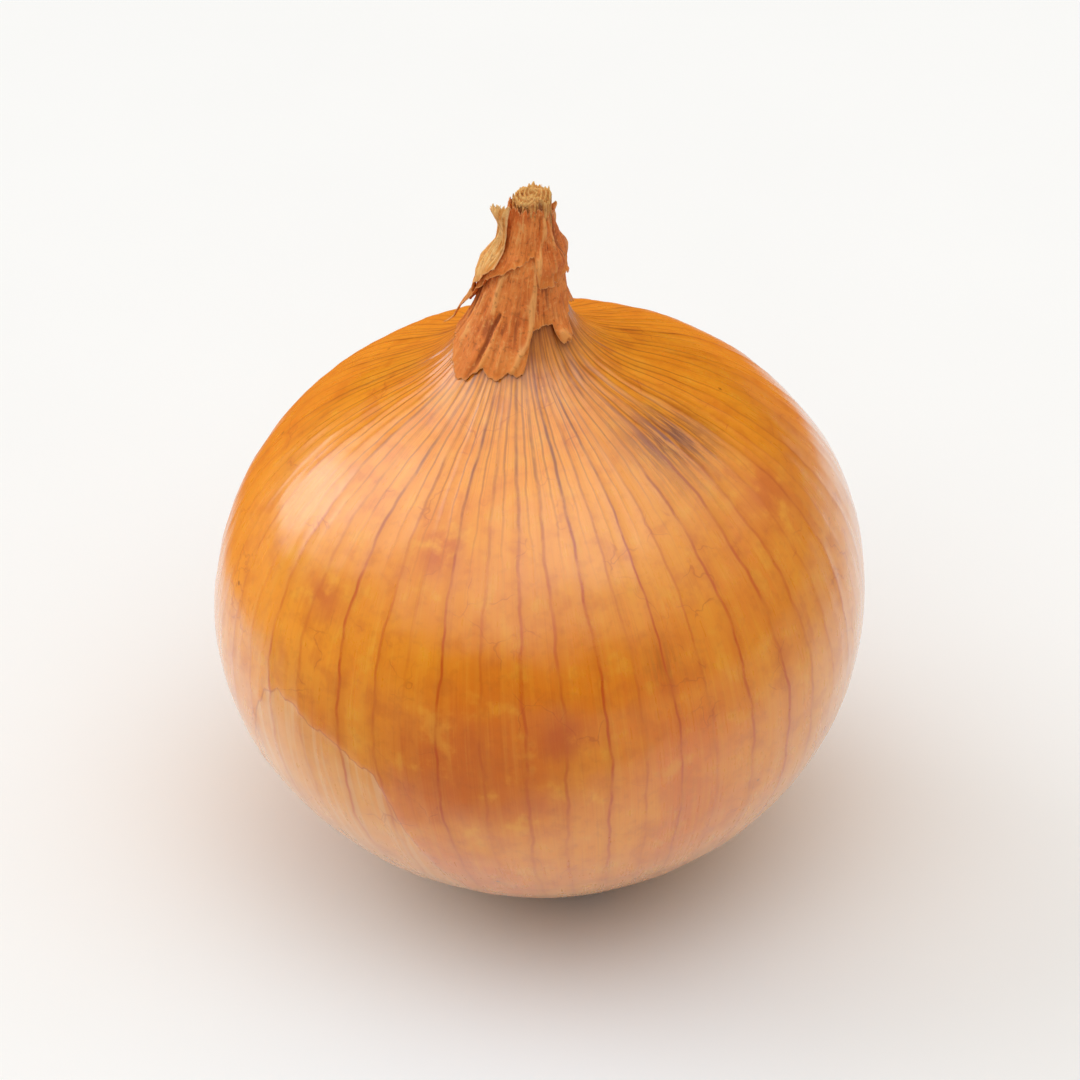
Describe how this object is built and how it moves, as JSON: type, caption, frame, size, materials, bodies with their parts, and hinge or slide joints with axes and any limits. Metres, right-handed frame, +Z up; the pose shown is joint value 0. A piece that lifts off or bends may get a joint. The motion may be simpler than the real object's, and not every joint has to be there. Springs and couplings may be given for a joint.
{
  "type": "onion",
  "caption": "Whole dry yellow onion standing on its root tuft, with veined papery skin, a withered neck wrapped in torn dry leaves, and a matted root plate.",
  "frame": {"origin": "on the surface it stands on, under the middle of its bounding box", "axes": "+Z up, towards the neck; -Y towards the front, where the torn leaves of the neck reach furthest; +X right"},
  "size_m": [0.0808, 0.0796, 0.0975],
  "materials": {
    "skin": "satin",
    "stalk": "matte",
    "dry_leaf": "matte",
    "pale_leaf": "matte",
    "roots": "matte"
  },
  "bodies": {
    "root": {"bulb": "skin", "neck_stalk": "stalk", "neck_collar": "dry_leaf", "neck_sheath": "dry_leaf", "neck_flap": "pale_leaf", "root_plate": "roots", "skin_flake_front": "pale_leaf", "skin_flake_left": "pale_leaf"}
  },
  "joints": []
}
